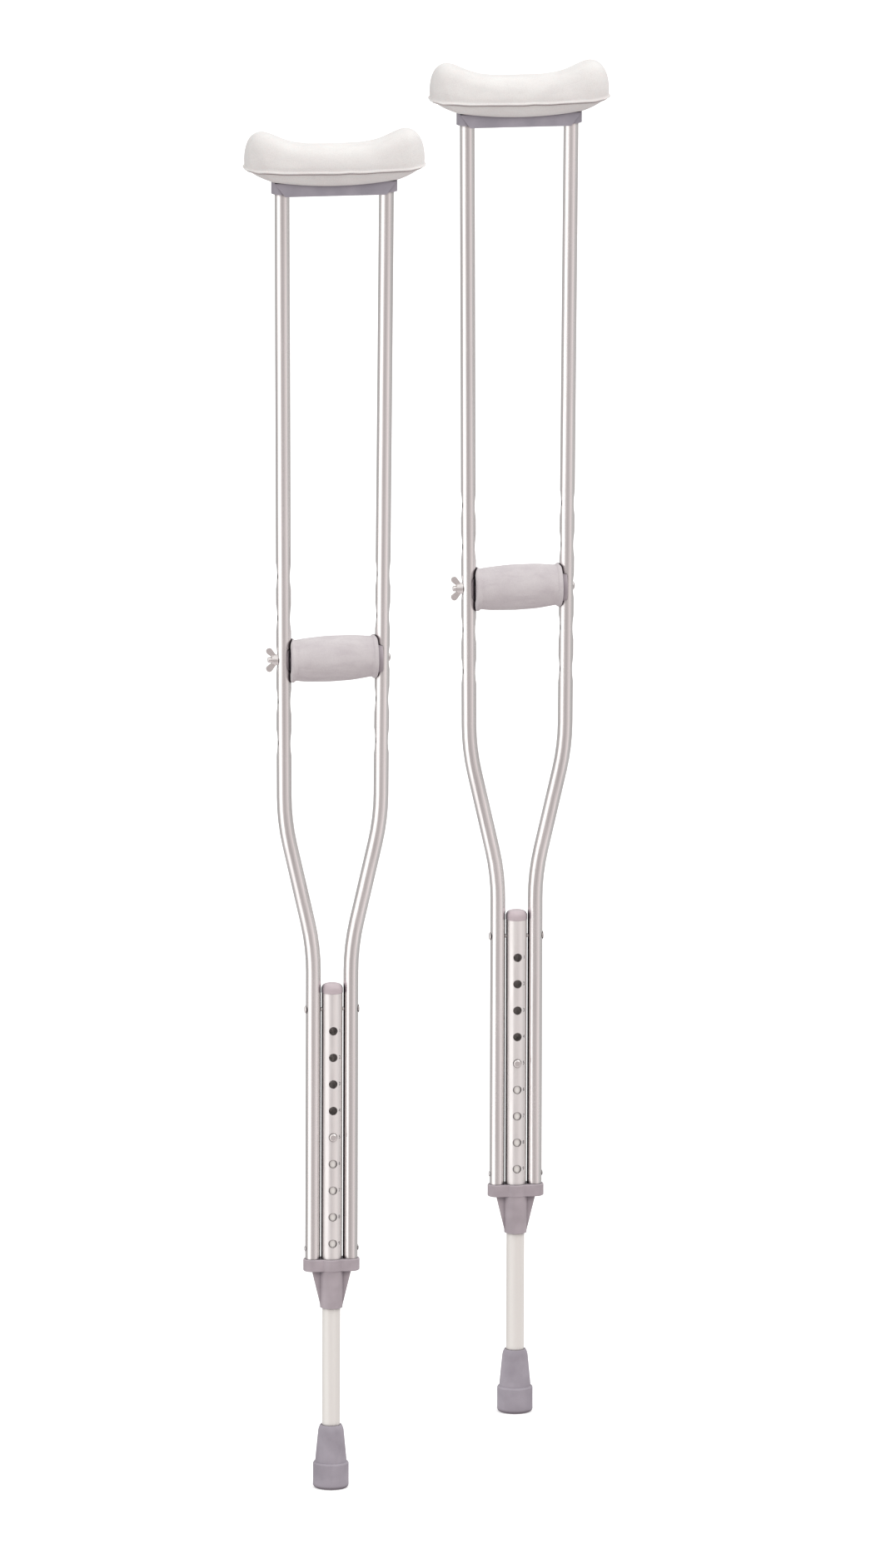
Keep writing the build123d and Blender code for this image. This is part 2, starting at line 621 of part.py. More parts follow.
# ---------------------------------------------------------------- the pair
crutch = {
    "pad": make_pad(),
    "cradle": make_cradle(),
    "cradle_rivets": make_cradle_rivets(),
    "left_upright": make_upright(-1),
    "right_upright": make_upright(1),
    "centre_tube": make_centre_tube(),
    "tube_cap": make_tube_cap(),
    "frame_bolt": make_frame_bolt(),
    "frame_nut": make_frame_nut(),
    "collar": make_collar(),
    "collar_rivets": make_collar_rivets(),
    "grip_foam": make_grip_foam(),
    "grip_core": make_grip_core(),
    "grip_bolt": make_grip_bolt(),
    "wing_nut": make_wing_nut(),
    "leg_tube": make_leg_tube(),
    "snap_button": make_snap_button(),
    "snap_spring": make_snap_spring(),
    "tip": make_tip(),
    "tip_washer": make_tip_washer(),
}
stands = {
    "front": Pos(-PAIR_HALF_X, -PAIR_HALF_Y, 0),
    "rear": Pos(PAIR_HALF_X, PAIR_HALF_Y, 0),
}

os.makedirs("parts", exist_ok=True)
for place_name, place in stands.items():
    for piece_name, piece in crutch.items():
        standing = place * piece
        standing.label = f"{place_name}_{piece_name}"
        export_step(standing, f"parts/{standing.label}.step")
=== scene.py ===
import json
from math import atan2, copysign, cos, hypot, pi, radians, sin, sqrt

import bpy
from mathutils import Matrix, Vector, noise


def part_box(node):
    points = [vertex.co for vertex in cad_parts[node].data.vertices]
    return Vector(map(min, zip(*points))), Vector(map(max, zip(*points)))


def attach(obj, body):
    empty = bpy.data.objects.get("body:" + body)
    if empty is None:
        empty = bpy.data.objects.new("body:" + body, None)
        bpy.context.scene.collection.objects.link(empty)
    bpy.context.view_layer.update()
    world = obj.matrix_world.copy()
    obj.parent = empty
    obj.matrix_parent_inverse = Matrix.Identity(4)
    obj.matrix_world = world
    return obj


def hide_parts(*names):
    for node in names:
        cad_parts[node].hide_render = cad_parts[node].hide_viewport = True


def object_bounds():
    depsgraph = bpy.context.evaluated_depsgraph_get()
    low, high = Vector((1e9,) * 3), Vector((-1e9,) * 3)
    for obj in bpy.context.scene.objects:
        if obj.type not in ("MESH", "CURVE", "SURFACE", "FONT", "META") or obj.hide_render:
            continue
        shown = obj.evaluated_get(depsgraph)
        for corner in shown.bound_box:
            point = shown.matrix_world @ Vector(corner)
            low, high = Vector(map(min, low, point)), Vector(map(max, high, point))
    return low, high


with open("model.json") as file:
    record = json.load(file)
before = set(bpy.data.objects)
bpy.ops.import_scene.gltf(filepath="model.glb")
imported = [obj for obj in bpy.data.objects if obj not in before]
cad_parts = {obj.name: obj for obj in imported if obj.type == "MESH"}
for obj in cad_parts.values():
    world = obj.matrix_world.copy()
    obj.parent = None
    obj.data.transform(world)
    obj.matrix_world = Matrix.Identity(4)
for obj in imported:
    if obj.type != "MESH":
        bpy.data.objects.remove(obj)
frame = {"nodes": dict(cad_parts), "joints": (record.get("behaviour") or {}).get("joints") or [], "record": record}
cad_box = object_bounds()

# The looks of a pair of aluminium underarm crutches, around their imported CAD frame.
# Lengths are in metres, +Z is up. The crutches face -Y, with their uprights side by side along X.
# The soft pieces are made for the front crutch, and copied to the rear one.
MM = 0.001
CRUTCHES = ("front", "rear")

# ---------------------------------------------------------------- places, read from the frame
pad_low, pad_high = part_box("front_pad")
cradle_low, cradle_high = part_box("front_cradle")
foam_low, foam_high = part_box("front_grip_foam")
tube_low, tube_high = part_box("front_centre_tube")
button_low, button_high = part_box("front_snap_button")
tip_low, tip_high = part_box("front_tip")
rear_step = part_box("rear_pad")[0] - pad_low

pad_middle = (pad_low + pad_high) / 2
pad_half_length = (pad_high.x - pad_low.x) / 2
pad_half_depth = (pad_high.y - pad_low.y) / 2
grip_middle = (foam_low + foam_high) / 2
grip_half = (foam_high.x - foam_low.x) / 2
grip_radius = (foam_high.z - foam_low.z) / 2
tube_middle = (tube_low + tube_high) / 2
tube_radius = (tube_high.x - tube_low.x) / 2
button_z = (button_low.z + button_high.z) / 2

# Pad shape.
SADDLE_RISE = 15.5 * MM  # how far the horns stand above the middle of the saddle
SADDLE_POWER = 2.1  # higher makes the saddle's middle flatter
HORN_INSET = 16.7 * MM  # from an end of the pad to the top of its horn
SEAM_HEIGHT = 19.5 * MM  # from the pad's lower edge to its seam
SEAM_SAG = 3.0 * MM  # the seam hangs this far lower in its middle than at the pad's ends
SEAM_WAVE = 0.9 * MM  # how much the seam wanders up and down
SEAM_WAVE_PACE = 8.0  # higher gives more waves round the pad
KEEL_SAG = 5.5 * MM  # how far the lower edge hangs lower in its middle than at the cradle's ends
KEEL_RISE_LIMIT = 1.3  # the most that the lower edge rises past the cradle's ends, in keel sags
PLAN_CORNER = 22 * MM
SHOULDER_WIDTH = 20 * MM  # from the pad's wall inwards to its flat top
SHOULDER_POWER = 2.6  # 2 is a round shoulder, and more is squarer
SHOULDER_BEARINGS = (5, 11, 18, 26, 34, 42, 49, 56)  # degrees up the shoulder, one for each row on it
POCKET_GAP = 0.4 * MM  # between the cradle and the pocket it sits in
POCKET_CORNER = 2 * MM
POCKET_MIDDLE = 0.75  # height of the pocket's second row, as a share of its roof's
HULL_STEPS = 8
HULL_ROUNDNESS = 0.6  # 1 is a straight underside, and less bulges out more
HULL_CORNER = 4 * MM
HULL_FOOT_LENGTH = 2.0 * MM  # how far the hull's lowest row stands out from the pocket
HULL_FOOT_DEPTH = 2.2 * MM
HULL_FOOT_HEIGHT = 0.5 * MM
HULL_CLIMB = SEAM_HEIGHT - 1.5 * MM  # the hull's top row stops one step short of this climb
HELD_ROWS = 5  # the pocket's rows and the lower edge's, which grip the cradle
# The lower edge, a thin lip round the pocket's mouth: for each row how far it stands out from the pocket
# along X and along Y, its corner radius and its height, in mm.
LIP = (
    (0.0, 0.0, 2.0, 0.8),
    (0.9, 1.0, 3.0, 0.0),
)
# The raised seam, from below: how far each row stands out from the pad's outline, and how far above its
# seam, in mm.
BEAD = (
    (-1.6, -3.0),
    (-2.4, -1.7),
    (-1.7, -1.1),
    (0.2, -1.2),
    (1.3, -0.5),
    (1.3, 0.5),
    (0.4, 1.2),
    (-0.6, 1.6),
)
PAD_COLUMNS = 48  # quads along the pad
PAD_COLUMNS_ACROSS = 14
SMOOTHING = 2  # levels of subdivision on the soft pieces

# Size numbers, printed beside the height holes.
HOLE_COUNT = 9
NUMBER_HEIGHT = 5.4 * MM
NUMBER_BEARING = radians(40)  # round the tube from its front
PRINT_THICKNESS = 0.05 * MM

# Grip shape.
GRIP_BORE = 13.1 * MM  # just outside the rigid core
FLANGE_DROP = 0.6 * MM  # how far the rolled end rings stay inside the barrel's greatest radius
RING_WIDTH = 5.0 * MM
NECK_DEPTH = 2.6 * MM
NECK_WIDTH = 5.0 * MM
BARREL_FOOT = 0.5 * MM  # how far the barrel's ends stand above the neck
BARREL_POWER = 2.4  # 2 is a round barrel, and more has a longer flat middle
BARREL_STEPS = 14
GRIP_SEGMENTS = 64
GRIP_SKEW = 0.03  # the soft sleeve has been pushed a little askew on its core
GRIP_SKIN = 0.75  # share of the radius beyond which a point is on the outside of the sleeve
GRIP_DENTS = ((45, 0.5 * MM), (120, 0.15 * MM))  # dents in a metre, and their depth
UPRIGHT_CLEARANCE = 9.0 * MM  # the sleeve's ends stay this far from the uprights' middle lines

# Cloth.
PRESSURE = 4.0
CLOTH_FRAMES = 20
PAD_SWELL = 2.2 * MM  # no point moves further than this
GRIP_SWELL = 1.2 * MM

# Light. Colours of the surroundings are light values, not as the eye sees them.
SKY_STRENGTH = 1.1
SKY_OVERHEAD = (1.03, 1.03, 1.03, 1)
SKY_BELOW = (0.78, 0.74, 0.75, 1)
WARM_SHARE = 0.93  # green and blue against red in the dim part that the crutches face
PLAIN_SHARE = 0.985  # the same everywhere else
# Brightness of the surroundings by bearing: degrees from the side that the crutches face, towards +X.
SKY_BEARINGS = (
    (-180, 0.5),
    (-135, 0.45),
    (-98, 0.5),
    (-78, 1.3),
    (-48, 1.3),
    (-28, 0.52),
    (0, 0.48),
    (30, 0.66),
    (48, 0.84),
    (75, 0.55),
    (110, 0.45),
    (150, 0.62),
    (180, 0.5),
)
KEY_OFFSET = Vector((1.9, -1.3, 2.9))  # from the middle of the crutches
KEY_SIZE = 1.4
KEY_POWER = 28
FLOOR_REACH = 40.0
FLOOR_GLOW = 0.3  # lifts the floor to the white of the backdrop

# Camera.
CAMERA_TURN = radians(-8)
CAMERA_TILT = radians(12.4)
CAMERA_ROLL = radians(0.18)
CAMERA_DISTANCE = 60.0  # far off, so that both crutches look almost equally large
PICTURE_HEIGHT = 1.66  # what the picture spans at the front crutch
SOLE_LEFT_OF_CENTRE = 0.1217  # where the front crutch's sole stands in the picture
SOLE_BELOW_CENTRE = 0.7443
CLIP_END = 200


# ---------------------------------------------------------------- node helpers
class Graph:
    """A node tree with short calls for adding and linking its nodes."""

    def __init__(self, tree):
        self.tree = tree

    def add(self, kind, settings=None, **inputs):
        made = self.tree.nodes.new("ShaderNode" + kind)
        for name, value in (settings or {}).items():
            setattr(made, name, value)
        for name, value in inputs.items():
            self.put(made.inputs[name.replace("_", " ")], value)
        return made

    def put(self, socket, value):
        if isinstance(value, bpy.types.NodeSocket):
            self.tree.links.new(value, socket)
        else:
            socket.default_value = value

    def math(self, operation, first, second=0.0, clamp=False):
        made = self.add("Math", {"operation": operation, "use_clamp": clamp})
        self.put(made.inputs[0], first)
        self.put(made.inputs[1], second)
        return made.outputs[0]

    def mix(self, share, first, second):
        made = self.add("Mix", {"data_type": "RGBA"})
        self.put(made.inputs["Factor"], share)
        self.put(made.inputs[6], first)
        self.put(made.inputs[7], second)
        return made.outputs[2]

    def ramp(self, value, low, high, from_low=0.0, from_high=1.0):
        """Turns values between from_low and from_high into ones between low and high, and no further."""
        made = self.add("MapRange", From_Min=from_low, From_Max=from_high, To_Min=low, To_Max=high)
        self.put(made.inputs["Value"], value)
        return made.outputs["Result"]

    def place(self, scale=(1, 1, 1)):
        """Object coordinates, which are the frame's metres here, stretched by the scale."""
        coordinates = self.add("TexCoord").outputs["Object"]
        return self.add("Mapping", Vector=coordinates, Scale=scale).outputs["Vector"]

    def noise(self, scale, detail=3.0, roughness=0.5, stretch=(1, 1, 1)):
        """Cloudy noise with about scale clouds a metre, or fewer along an axis stretched by less than 1."""
        made = self.add("TexNoise", Vector=self.place(stretch), Scale=scale, Detail=detail)
        made.inputs["Roughness"].default_value = roughness
        return made.outputs["Fac"]

    def cells(self, scale, output="Distance"):
        """Rounded cells: the distance from the middle of a point's cell, or the cell's own random Color."""
        return self.add("TexVoronoi", {"feature": "F1"}, Vector=self.place(), Scale=scale).outputs[output]

    def bump(self, height, depth, normal=None):
        made = self.add("Bump", Height=height, Distance=depth, Strength=1.0)
        if normal is not None:
            self.put(made.inputs["Normal"], normal)
        return made.outputs["Normal"]

    def openness(self, reach):
        """1 where a surface is open, towards 0 in grooves and gaps narrower than the reach."""
        return self.add("AmbientOcclusion", {"samples": 8}, Distance=reach).outputs["AO"]

    def edges(self, radius):
        """1 along the edges that stick out, 0 on flat and gently curved faces, with the bevelled normal."""
        bevel = self.add("Bevel", {"samples": 4}, Radius=radius).outputs["Normal"]
        flat = self.add("NewGeometry").outputs["Normal"]
        match = self.add("VectorMath", {"operation": "DOT_PRODUCT"})
        self.put(match.inputs[0], bevel)
        self.put(match.inputs[1], flat)
        edge = self.ramp(match.outputs["Value"], 1.0, 0.0, 0.86, 0.995)
        open_side = self.ramp(self.openness(3 * radius), 0.0, 1.0, 0.75, 0.95)
        return self.math("MULTIPLY", edge, open_side), bevel

    def soil(self, tone, reach, shade):
        """Painted shade: the colour, darkened towards the shade colour in grooves and gaps, where shadow falls."""
        return self.mix(self.ramp(self.openness(reach), 1.0, 0.0, 0.35, 0.9), tone, shade)


def rgb(red, green, blue):
    """A colour given as the eye sees it, 0 to 1, turned into light values."""
    values = []
    for value in (red, green, blue):
        values.append(value / 12.92 if value <= 0.04045 else ((value + 0.055) / 1.055) ** 2.4)
    return (*values, 1.0)


SMUDGED_FOAM = rgb(0.80, 0.78, 0.775)
# Edges are lightened towards these colours: partly rubbed wear, partly a painted highlight.
WORN_AND_HIGHLIT_PLASTIC = rgb(0.83, 0.80, 0.81)
WORN_AND_HIGHLIT_STEEL = rgb(0.93, 0.92, 0.91)
# Painted shade: grooves, gaps and recesses are darkened towards these colours, where shadow falls.
PAINTED_SHADE_PAD = rgb(0.52, 0.44, 0.45)
PAINTED_SHADE_GRIP = rgb(0.58, 0.54, 0.56)
PAINTED_SHADE_PLASTIC = rgb(0.46, 0.43, 0.46)
PAINTED_SHADE_METAL = rgb(0.45, 0.42, 0.43)
PLASTIC_GRAIN = 0.025 * MM
RUBBER_GRAIN = 0.05 * MM
TUBE_LINES = 0.006 * MM
LEG_LINES = 0.004 * MM


def new_material(name):
    material = bpy.data.materials.new(name)
    material.use_nodes = True
    graph = Graph(material.node_tree)
    surface = material.node_tree.nodes["Principled BSDF"]
    return material, graph, surface


def finish_surface(graph, surface, **inputs):
    """Sets or links the surface's inputs, which are named as in Blender with _ for each space."""
    for name, value in inputs.items():
        graph.put(surface.inputs[name.replace("_", " ")], value)


# ---------------------------------------------------------------- materials
def make_pad_cover():
    """Off-white soft foam skin: fine pores, shallow creases, faint grey smears, and painted shade in its groove.
    """
    material, graph, surface = new_material("pad_cover")
    pores = graph.cells(1100.0)
    cloud = graph.noise(22.0, detail=4.0)
    smears = graph.noise(60.0, detail=5.0, roughness=0.6, stretch=(0.35, 1, 1))
    light = rgb(0.912, 0.905, 0.893)
    dark = rgb(0.885, 0.873, 0.863)
    tone = graph.mix(graph.ramp(cloud, 0.0, 1.0, 0.35, 0.7), light, dark)
    tone = graph.mix(graph.ramp(smears, 0.0, 0.3, 0.5, 0.75), tone, SMUDGED_FOAM)
    tone = graph.mix(graph.ramp(pores, 0.0, 0.25, 0.35, 0.8), tone, SMUDGED_FOAM)
    # Painted shade in the seam's groove and other hollows.
    tone = graph.soil(tone, 5 * MM, PAINTED_SHADE_PAD)
    creases = graph.noise(70.0, detail=3.0, roughness=0.45, stretch=(0.6, 1, 1))
    normal = graph.bump(creases, 0.8 * MM)
    normal = graph.bump(smears, 0.15 * MM, normal)
    normal = graph.bump(pores, 0.06 * MM, normal)
    finish_surface(
        graph, surface, Base_Color=tone, Normal=normal,
        Roughness=graph.ramp(cloud, 0.55, 0.72), Sheen_Weight=0.15, Sheen_Roughness=0.5,
        Subsurface_Weight=0.12, Subsurface_Radius=(0.004, 0.0026, 0.0024), Subsurface_Scale=1.0,
    )
    return material


def make_grip_foam():
    """Light grey-lavender foam: open cells, a fine grain, shallow dents, streaky and cloudy colour, and painted
    shade in its grooves and gaps.
    """
    material, graph, surface = new_material("grip_foam_skin")
    cells = graph.cells(2000.0)
    grain = graph.noise(420.0, detail=3.0)
    cloud = graph.noise(35.0, detail=4.0)
    light = rgb(0.85, 0.828, 0.828)
    dark = rgb(0.80, 0.772, 0.78)
    tone = graph.mix(graph.ramp(cloud, 0.0, 1.0, 0.3, 0.7), light, dark)
    streaks = graph.noise(110.0, detail=4.0, roughness=0.6, stretch=(0.3, 1, 1))
    tone = graph.mix(graph.ramp(streaks, 0.0, 0.45, 0.5, 0.7), tone, rgb(0.74, 0.705, 0.72))
    tone = graph.mix(graph.ramp(cells, 0.0, 0.3, 0.25, 0.75), tone, rgb(0.66, 0.628, 0.645))
    # Painted shade in the grip's grooves and in the gaps at the uprights.
    tone = graph.soil(tone, 4 * MM, PAINTED_SHADE_GRIP)
    dents = graph.noise(90.0, detail=2.0)
    normal = graph.bump(dents, 0.7 * MM)
    normal = graph.bump(grain, 0.16 * MM, normal)
    normal = graph.bump(cells, 0.06 * MM, normal)
    finish_surface(
        graph, surface, Base_Color=tone, Normal=normal,
        Roughness=graph.ramp(grain, 0.68, 0.88), Sheen_Weight=0.15, Sheen_Roughness=0.6,
    )
    return material


def make_moulding(name, light, dark, grain_depth, roughness):
    """Moulded grey plastic or rubber: fine grain, flow marks, cloudy colour, edges lighter (partly rubbed wear,
    partly a painted highlight), and painted shade in recesses and gaps.
    """
    material, graph, surface = new_material(name)
    cloud = graph.noise(40.0, detail=4.0)
    grain = graph.noise(1400.0, detail=2.0)
    flow = graph.noise(120.0, detail=3.0, stretch=(1, 1, 0.08))
    worn_and_highlit_edges, bevelled = graph.edges(0.5 * MM)
    wear_and_highlight_patches = graph.ramp(graph.noise(260.0, detail=4.0), 0.25, 1.0, 0.35, 0.65)
    tone = graph.mix(graph.ramp(cloud, 0.0, 1.0, 0.35, 0.65), light, dark)
    tone = graph.mix(graph.ramp(flow, 0.0, 0.35, 0.45, 0.75), tone, dark)
    # Edges lightened: partly rubbed wear, partly a painted highlight.
    tone = graph.mix(graph.math("MULTIPLY", worn_and_highlit_edges, wear_and_highlight_patches), tone, WORN_AND_HIGHLIT_PLASTIC)
    # Painted shade in recesses, grooves and gaps.
    tone = graph.soil(tone, 8 * MM, PAINTED_SHADE_PLASTIC)
    normal = graph.bump(grain, grain_depth, bevelled)
    normal = graph.bump(flow, 0.12 * MM, normal)
    finish_surface(
        graph, surface, Base_Color=tone, Normal=normal,
        Roughness=graph.ramp(grain, roughness - 0.07, roughness + 0.07), Specular_IOR_Level=0.4,
    )
    return material


def make_drawn_metal(name, light, dark, roughness, metallic, line_depth):
    """Drawn tube: fine lines along its length, faint smudges, a few hairline scratches, and painted shade in
    grooves and gaps.
    """
    material, graph, surface = new_material(name)
    lines = graph.noise(900.0, detail=3.0, roughness=0.6, stretch=(1, 1, 0.012))
    bands = graph.noise(130.0, detail=2.0, stretch=(1, 1, 0.02))
    smudge = graph.noise(18.0, detail=5.0, roughness=0.6)
    scratches = graph.add(
        "TexVoronoi", {"feature": "DISTANCE_TO_EDGE"}, Vector=graph.place((1, 1, 0.22)), Scale=45.0,
    ).outputs["Distance"]
    scratch = graph.ramp(scratches, 1.0, 0.0, 0.0, 0.006)
    scratch = graph.math("MULTIPLY", scratch, graph.ramp(smudge, 0.0, 1.0, 0.52, 0.7))
    tone = graph.mix(graph.ramp(bands, 0.0, 1.0, 0.35, 0.65), light, dark)
    smudged_gloss = graph.ramp(smudge, roughness - 0.06, roughness + 0.1, 0.3, 0.7)
    gloss = graph.math("ADD", smudged_gloss, graph.ramp(lines, -0.05, 0.05, 0.3, 0.7))
    # Painted shade in the gaps between tubes and in grooves.
    tone = graph.soil(tone, 4 * MM, PAINTED_SHADE_METAL)
    normal = graph.bump(lines, line_depth)
    normal = graph.bump(scratch, -0.02 * MM, normal)
    finish_surface(
        graph, surface, Base_Color=tone, Normal=normal, Metallic=metallic, Roughness=gloss,
    )
    return material


def make_plated_steel(name, light, dark, roughness):
    """Zinc-plated or plain steel: a crystalline mottle, and lighter edges, partly rubbed wear and partly a painted
    highlight.
    """
    material, graph, surface = new_material(name)
    mottle = graph.add("SeparateColor", Color=graph.cells(700.0, "Color")).outputs["Red"]
    stain = graph.noise(180.0, detail=4.0)
    worn_and_highlit_edges, bevelled = graph.edges(0.3 * MM)
    tone = graph.mix(graph.ramp(mottle, 0.0, 0.5), light, dark)
    tone = graph.mix(graph.ramp(stain, 0.0, 0.4, 0.5, 0.8), tone, dark)
    # Edges lightened: partly rubbed wear, partly a painted highlight.
    tone = graph.mix(graph.math("MULTIPLY", worn_and_highlit_edges, 0.8), tone, WORN_AND_HIGHLIT_STEEL)
    normal = graph.bump(stain, 0.05 * MM, bevelled)
    finish_surface(
        graph, surface, Base_Color=tone, Normal=normal, Metallic=1.0,
        Roughness=graph.ramp(mottle, roughness - 0.05, roughness + 0.1),
    )
    return material


def make_ink():
    """Dark grey printing, worn thin in places."""
    material, graph, surface = new_material("size_print")
    wear = graph.noise(1500.0, detail=4.0, roughness=0.7)
    ink = rgb(0.28, 0.27, 0.29)
    thin = rgb(0.62, 0.61, 0.62)
    tone = graph.mix(graph.ramp(wear, 0.0, 1.0, 0.45, 0.7), ink, thin)
    finish_surface(graph, surface, Base_Color=tone, Roughness=0.55)
    return material


pad_cover = make_pad_cover()
grip_skin = make_grip_foam()
size_print = make_ink()
grey_plastic = make_moulding(
    "moulded_plastic", rgb(0.735, 0.695, 0.715), rgb(0.67, 0.63, 0.65), PLASTIC_GRAIN, 0.48)
# The cradle's copy is darker and bluer: painted shade from the pad above it.
cradle_plastic_painted_shade = make_moulding(
    "moulded_cradle_painted_shade", rgb(0.655, 0.635, 0.67), rgb(0.60, 0.585, 0.62), PLASTIC_GRAIN, 0.5)
cap_plastic = make_moulding(
    "moulded_cap", rgb(0.82, 0.765, 0.78), rgb(0.76, 0.71, 0.725), PLASTIC_GRAIN, 0.45)
tip_rubber = make_moulding(
    "moulded_rubber", rgb(0.685, 0.66, 0.695), rgb(0.62, 0.595, 0.63), RUBBER_GRAIN, 0.7)
bright_tube = make_drawn_metal(
    "drawn_aluminium", rgb(0.95, 0.935, 0.93), rgb(0.90, 0.885, 0.88), 0.2, 1.0, TUBE_LINES)
satin_tube = make_drawn_metal(
    "satin_aluminium", rgb(0.97, 0.955, 0.945), rgb(0.94, 0.925, 0.92), 0.42, 0.8, TUBE_LINES)
leg_finish = make_drawn_metal(
    "satin_leg_tube", rgb(0.95, 0.94, 0.92), rgb(0.925, 0.91, 0.89), 0.45, 0.1, LEG_LINES)
rivet_metal = make_plated_steel("rivet_aluminium", rgb(0.90, 0.89, 0.89), rgb(0.78, 0.77, 0.77), 0.3)
zinc_plate = make_plated_steel("zinc_plated_steel", rgb(0.93, 0.91, 0.90), rgb(0.80, 0.78, 0.78), 0.3)
spring_steel = make_plated_steel("spring_steel", rgb(0.62, 0.62, 0.64), rgb(0.48, 0.48, 0.50), 0.35)

SLOT_MATERIALS = {
    "pad_foam": pad_cover,
    "grip_foam": grip_skin,
    "tip_rubber": tip_rubber,
    "grey_plastic": grey_plastic,
    "aluminium_tube": bright_tube,
    "leg_tube": leg_finish,
    "aluminium_rivet": rivet_metal,
    "steel": zinc_plate,
    "spring_steel": spring_steel,
}
# These pieces are lighter or darker than the others of their slot. The cradle's darker copy is painted shade from
# the pad above it.
NODE_MATERIALS = {
    "centre_tube": satin_tube,
    "tube_cap": cap_plastic,
    "cradle": cradle_plastic_painted_shade,
}
for part in frame["record"]["subparts"]:
    piece_name = part["node"].split("_", 1)[1]
    mesh = frame["nodes"][part["node"]].data
    mesh.materials.clear()
    mesh.materials.append(NODE_MATERIALS.get(piece_name) or SLOT_MATERIALS[part["material_slot"]])


# ---------------------------------------------------------------- mesh helpers
def new_piece(name, points, faces, material):
    mesh = bpy.data.meshes.new(name)
    mesh.from_pydata(points, [], faces)
    mesh.validate()
    mesh.materials.append(material)
    mesh.polygons.foreach_set("use_smooth", [True] * len(mesh.polygons))
    piece = bpy.data.objects.new(name, mesh)
    bpy.context.scene.collection.objects.link(piece)
    return piece


def box_shell(columns, across, rows, place):
    """A closed box of quads, and the row of each point. place(a, b, row) gives a point, where a and b
    run from -1 to 1 along X and Y."""
    index = {}
    points = []
    row_of = []

    def point(i, j, row):
        if (i, j, row) not in index:
            index[i, j, row] = len(points)
            points.append(place(2 * i / columns - 1, 2 * j / across - 1, row))
            row_of.append(row)
        return index[i, j, row]

    rim = [(i, 0) for i in range(columns)]
    rim += [(columns, j) for j in range(across)]
    rim += [(i, across) for i in range(columns, 0, -1)]
    rim += [(0, j) for j in range(across, 0, -1)]
    faces = []
    for row in range(rows - 1):
        for (i, j), (next_i, next_j) in zip(rim, rim[1:] + rim[:1]):
            faces.append([point(i, j, row), point(next_i, next_j, row),
                          point(next_i, next_j, row + 1), point(i, j, row + 1)])
    for row, order in ((0, -1), (rows - 1, 1)):
        for i in range(columns):
            for j in range(across):
                corners = [point(i, j, row), point(i + 1, j, row),
                           point(i + 1, j + 1, row), point(i, j + 1, row)]
                faces.append(corners[::order])
    return points, faces, row_of


def ring_shell(profile, segments):
    """A closed ring of quads: the closed profile of (x, radius) points turned about the X axis."""
    points = []
    for x, radius in profile:
        for step in range(segments):
            angle = 2 * pi * step / segments
            points.append(Vector((x, radius * sin(angle), radius * cos(angle))))
    faces = []
    for row in range(len(profile)):
        next_row = (row + 1) % len(profile)
        for step in range(segments):
            next_step = (step + 1) % segments
            faces.append([row * segments + step, row * segments + next_step,
                          next_row * segments + next_step, next_row * segments + step])
    return points, faces


def swell(piece, pinned, limit):
    """Inflates a closed soft piece with a short cloth simulation, each point moving at most limit."""
    start = [vertex.co.copy() for vertex in piece.data.vertices]
    group = piece.vertex_groups.new(name="pinned")
    group.add(pinned, 1.0, "REPLACE")
    modifier = piece.modifiers.new("inflate", "CLOTH")
    settings = modifier.settings
    settings.quality = 6
    settings.use_pressure = True
    settings.uniform_pressure_force = PRESSURE
    settings.vertex_group_mass = group.name
    settings.effector_weights.gravity = 0
    modifier.point_cache.frame_end = CLOTH_FRAMES
    for step in range(1, CLOTH_FRAMES + 1):
        bpy.context.scene.frame_set(step)
    blown = piece.evaluated_get(bpy.context.evaluated_depsgraph_get()).to_mesh()
    moves = [vertex.co - point for vertex, point in zip(blown.vertices, start)]
    piece.modifiers.clear()
    piece.vertex_groups.clear()
    for vertex, point, move in zip(piece.data.vertices, start, moves):
        length = move.length
        vertex.co = point + move * (limit / (limit + length))
    bpy.context.scene.frame_set(1)


def subdivide(piece):
    modifier = piece.modifiers.new("smooth", "SUBSURF")
    modifier.levels = SMOOTHING
    modifier.render_levels = SMOOTHING


def move_all(piece, step):
    for vertex in piece.data.vertices:
        vertex.co += step


def stand_pair(front, body, node):
    """Rides the front piece on its crutch, and a copy of it on the rear crutch."""
    rear = front.copy()
    rear.data = front.data.copy()
    rear.name = front.name.replace("front", "rear")
    bpy.context.scene.collection.objects.link(rear)
    move_all(rear, rear_step)
    for crutch, piece in zip(CRUTCHES, (front, rear)):
        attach(piece, f"{crutch}_{body}")
        if node:
            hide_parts(f"{crutch}_{node}")


# ---------------------------------------------------------------- underarm pad
def plan_point(a, b, half_length, half_depth, corner):
    """A point of the square -1 to 1 laid into a rounded rectangle."""
    x = abs(a) * half_length
    y = abs(b) * half_depth
    u = max(x - (half_length - corner), 0) / corner
    v = max(y - (half_depth - corner), 0) / corner
    x = min(x, half_length - corner) + corner * u * sqrt(1 - v * v / 2)
    y = min(y, half_depth - corner) + corner * v * sqrt(1 - u * u / 2)
    return copysign(x, a), copysign(y, b)


def inset_of(x, y):
    """How far a point lies inside the pad's widest outline."""
    beyond_x = abs(x) - (pad_half_length - PLAN_CORNER)
    beyond_y = abs(y) - (pad_half_depth - PLAN_CORNER)
    outside = hypot(max(beyond_x, 0), max(beyond_y, 0))
    return PLAN_CORNER - outside - min(max(beyond_x, beyond_y), 0)


